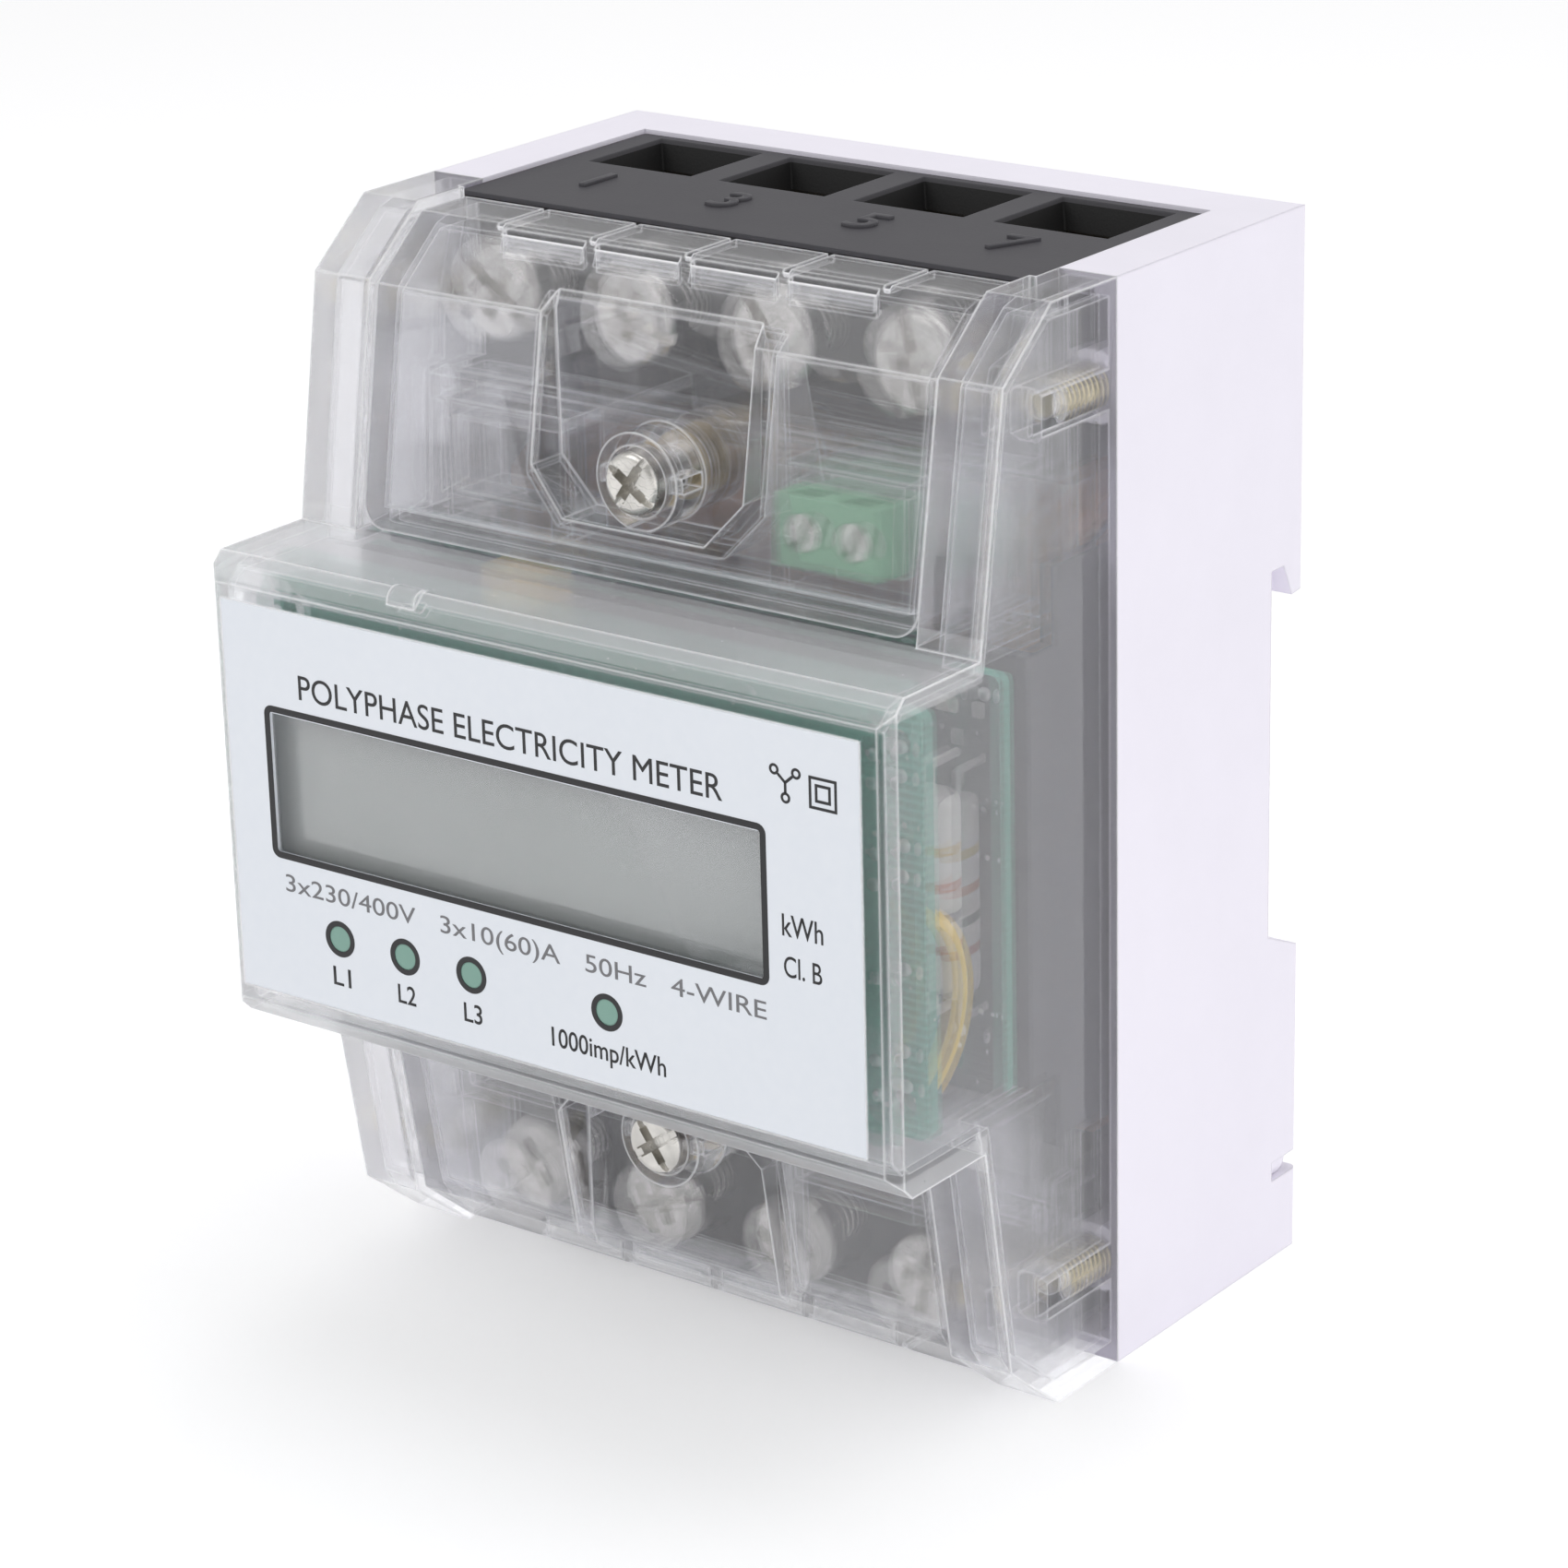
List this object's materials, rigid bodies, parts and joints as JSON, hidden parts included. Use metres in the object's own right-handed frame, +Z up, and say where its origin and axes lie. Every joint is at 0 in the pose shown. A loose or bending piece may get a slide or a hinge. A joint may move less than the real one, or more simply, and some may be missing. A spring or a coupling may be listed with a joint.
{
  "type": "smart electric meter",
  "caption": "Rail-mounted energy meter: white base with a sprung rail clip, black terminal blocks, clear case with a display window, and clear screw-sealed terminal covers.",
  "frame": {"origin": "centre of the bounding box at the bottom face that the meter stands on", "axes": "+X to the right seen from the display, +Y towards the rail, +Z up"},
  "size_m": [0.076, 0.065, 0.102],
  "materials": {
    "white_base": "fine matt moulded ABS, white with a cool tint",
    "clip_plastic": "matt moulded nylon, off-white",
    "black_plastic": "matt moulded polyamide",
    "clear_case": "clear polycarbonate, polished",
    "clear_cover": "clear polycarbonate, polished",
    "label": "printed white film",
    "lcd": "grey-green liquid crystal cell",
    "board": "green solder mask",
    "screw_steel": "nickel plated steel",
    "zinc_steel": "yellow zinc plated steel",
    "spring_steel": "drawn wire",
    "brass": "machined brass",
    "copper": "rolled copper bar",
    "green_plastic": "moulded green polyamide",
    "dark_frame": "dark grey moulded ABS",
    "sensor_resin": "potted sensor housing",
    "resistor_body": "cement coated with colour bands",
    "yellow_wire": "yellow insulated wire",
    "capacitor_film": "yellow film capacitor",
    "header_black": "black pin strip with gilt pins",
    "led_lens": "diffused lens"
  },
  "bodies": {
    "meter": {"rear_base": "white_base", "clip_spring": "spring_steel", "terminal_block_upper": "black_plastic", "terminal_block_lower": "black_plastic", "case_front": "clear_case", "seal_insert_upper": "brass", "seal_insert_lower": "brass", "display_label": "label", "lcd_module": "lcd", "display_pcb": "board", "main_pcb": "board", "pin_header": "header_black", "resistor": "resistor_body", "wire_loop": "yellow_wire", "capacitor": "capacitor_film", "status_leds": "led_lens", "plug_header": "green_plastic", "pulse_plug": "green_plastic", "case_screws": "zinc_steel", "inner_frame": "dark_frame", "current_sensor_1": "sensor_resin", "current_sensor_2": "sensor_resin", "current_sensor_3": "sensor_resin", "copper_bar_1": "copper", "copper_bar_2": "copper", "copper_bar_3": "copper", "copper_bar_4": "copper", "cage_1": "brass", "cage_2": "brass", "cage_3": "brass", "cage_4": "brass", "cage_5": "brass", "cage_6": "brass", "cage_7": "brass", "cage_8": "brass"},
    "din_clip": {"din_clip": "clip_plastic"},
    "upper_cover": {"upper_cover": "clear_cover"},
    "lower_cover": {"lower_cover": "clear_cover"},
    "seal_washer_upper": {"seal_washer_upper": "screw_steel"},
    "seal_screw_upper": {"seal_screw_upper": "screw_steel"},
    "seal_washer_lower": {"seal_washer_lower": "screw_steel"},
    "seal_screw_lower": {"seal_screw_lower": "screw_steel"},
    "clamp_plate_1": {"clamp_plate_1": "zinc_steel"},
    "terminal_screw_1": {"terminal_screw_1": "screw_steel"},
    "clamp_plate_2": {"clamp_plate_2": "zinc_steel"},
    "terminal_screw_2": {"terminal_screw_2": "screw_steel"},
    "clamp_plate_3": {"clamp_plate_3": "zinc_steel"},
    "terminal_screw_3": {"terminal_screw_3": "screw_steel"},
    "clamp_plate_4": {"clamp_plate_4": "zinc_steel"},
    "terminal_screw_4": {"terminal_screw_4": "screw_steel"},
    "clamp_plate_5": {"clamp_plate_5": "zinc_steel"},
    "terminal_screw_5": {"terminal_screw_5": "screw_steel"},
    "clamp_plate_6": {"clamp_plate_6": "zinc_steel"},
    "terminal_screw_6": {"terminal_screw_6": "screw_steel"},
    "clamp_plate_7": {"clamp_plate_7": "zinc_steel"},
    "terminal_screw_7": {"terminal_screw_7": "screw_steel"},
    "clamp_plate_8": {"clamp_plate_8": "zinc_steel"},
    "terminal_screw_8": {"terminal_screw_8": "screw_steel"},
    "plug_screw_1": {"plug_screw_1": "screw_steel"},
    "plug_screw_2": {"plug_screw_2": "screw_steel"}
  },
  "joints": [
    {"name": "clip_release", "type": "slide", "parent": "meter", "child": "din_clip", "axis": [0, 0, -1], "range_m": [0, 0.0032], "stiffness_N_per_m": 600, "springref_m": -0.004, "deforming": ["clip_spring"]},
    {"name": "upper_cover_off", "type": "slide", "parent": "meter", "child": "upper_cover", "axis": [0, -1, 0], "range_m": [0, 0.03]},
    {"name": "seal_travel_upper", "type": "slide", "parent": "upper_cover", "child": "seal_washer_upper", "axis": [0, -1, 0], "range_m": [0, 0.0042]},
    {"name": "seal_turn_upper", "type": "hinge", "parent": "seal_washer_upper", "child": "seal_screw_upper", "pos_m": [0, -0.0156, 0.0825], "axis": [0, -1, 0], "range_deg": [0, 2160]},
    {"name": "lower_cover_off", "type": "slide", "parent": "meter", "child": "lower_cover", "axis": [0, -1, 0], "range_m": [0, 0.03]},
    {"name": "seal_travel_lower", "type": "slide", "parent": "lower_cover", "child": "seal_washer_lower", "axis": [0, -1, 0], "range_m": [0, 0.0042]},
    {"name": "seal_turn_lower", "type": "hinge", "parent": "seal_washer_lower", "child": "seal_screw_lower", "pos_m": [0, -0.0156, 0.0195], "axis": [0, -1, 0], "range_deg": [0, 2160]},
    {"name": "clamp_travel_1", "type": "slide", "parent": "meter", "child": "clamp_plate_1", "axis": [0, 1, 0], "range_m": [0, 0.0048]},
    {"name": "screw_turn_1", "type": "hinge", "parent": "clamp_plate_1", "child": "terminal_screw_1", "pos_m": [-0.0231, -0.005, 0.094], "axis": [0, 1, 0], "range_deg": [0, 2160]},
    {"name": "clamp_travel_2", "type": "slide", "parent": "meter", "child": "clamp_plate_2", "axis": [0, 1, 0], "range_m": [0, 0.0048]},
    {"name": "screw_turn_2", "type": "hinge", "parent": "clamp_plate_2", "child": "terminal_screw_2", "pos_m": [-0.0231, -0.005, 0.008], "axis": [0, 1, 0], "range_deg": [0, 2160]},
    {"name": "clamp_travel_3", "type": "slide", "parent": "meter", "child": "clamp_plate_3", "axis": [0, 1, 0], "range_m": [0, 0.0048]},
    {"name": "screw_turn_3", "type": "hinge", "parent": "clamp_plate_3", "child": "terminal_screw_3", "pos_m": [-0.0077, -0.005, 0.094], "axis": [0, 1, 0], "range_deg": [0, 2160]},
    {"name": "clamp_travel_4", "type": "slide", "parent": "meter", "child": "clamp_plate_4", "axis": [0, 1, 0], "range_m": [0, 0.0048]},
    {"name": "screw_turn_4", "type": "hinge", "parent": "clamp_plate_4", "child": "terminal_screw_4", "pos_m": [-0.0077, -0.005, 0.008], "axis": [0, 1, 0], "range_deg": [0, 2160]},
    {"name": "clamp_travel_5", "type": "slide", "parent": "meter", "child": "clamp_plate_5", "axis": [0, 1, 0], "range_m": [0, 0.0048]},
    {"name": "screw_turn_5", "type": "hinge", "parent": "clamp_plate_5", "child": "terminal_screw_5", "pos_m": [0.0077, -0.005, 0.094], "axis": [0, 1, 0], "range_deg": [0, 2160]},
    {"name": "clamp_travel_6", "type": "slide", "parent": "meter", "child": "clamp_plate_6", "axis": [0, 1, 0], "range_m": [0, 0.0048]},
    {"name": "screw_turn_6", "type": "hinge", "parent": "clamp_plate_6", "child": "terminal_screw_6", "pos_m": [0.0077, -0.005, 0.008], "axis": [0, 1, 0], "range_deg": [0, 2160]},
    {"name": "clamp_travel_7", "type": "slide", "parent": "meter", "child": "clamp_plate_7", "axis": [0, 1, 0], "range_m": [0, 0.0048]},
    {"name": "screw_turn_7", "type": "hinge", "parent": "clamp_plate_7", "child": "terminal_screw_7", "pos_m": [0.0231, -0.005, 0.094], "axis": [0, 1, 0], "range_deg": [0, 2160]},
    {"name": "clamp_travel_8", "type": "slide", "parent": "meter", "child": "clamp_plate_8", "axis": [0, 1, 0], "range_m": [0, 0.0048]},
    {"name": "screw_turn_8", "type": "hinge", "parent": "clamp_plate_8", "child": "terminal_screw_8", "pos_m": [0.0231, -0.005, 0.008], "axis": [0, 1, 0], "range_deg": [0, 2160]},
    {"name": "plug_screw_turn_1", "type": "hinge", "parent": "meter", "child": "plug_screw_1", "pos_m": [0.01645, -0.0135, 0.0799], "axis": [0, -1, 0], "range_deg": [0, 1440]},
    {"name": "plug_screw_turn_2", "type": "hinge", "parent": "meter", "child": "plug_screw_2", "pos_m": [0.02185, -0.0135, 0.0799], "axis": [0, -1, 0], "range_deg": [0, 1440]}
  ],
  "couplings": [
    {"joint": "seal_turn_upper", "follows": "seal_travel_upper", "rad_per_m": 8976},
    {"joint": "seal_turn_lower", "follows": "seal_travel_lower", "rad_per_m": 8976},
    {"joint": "screw_turn_1", "follows": "clamp_travel_1", "rad_per_m": 7854},
    {"joint": "screw_turn_2", "follows": "clamp_travel_2", "rad_per_m": 7854},
    {"joint": "screw_turn_3", "follows": "clamp_travel_3", "rad_per_m": 7854},
    {"joint": "screw_turn_4", "follows": "clamp_travel_4", "rad_per_m": 7854},
    {"joint": "screw_turn_5", "follows": "clamp_travel_5", "rad_per_m": 7854},
    {"joint": "screw_turn_6", "follows": "clamp_travel_6", "rad_per_m": 7854},
    {"joint": "screw_turn_7", "follows": "clamp_travel_7", "rad_per_m": 7854},
    {"joint": "screw_turn_8", "follows": "clamp_travel_8", "rad_per_m": 7854}
  ]
}
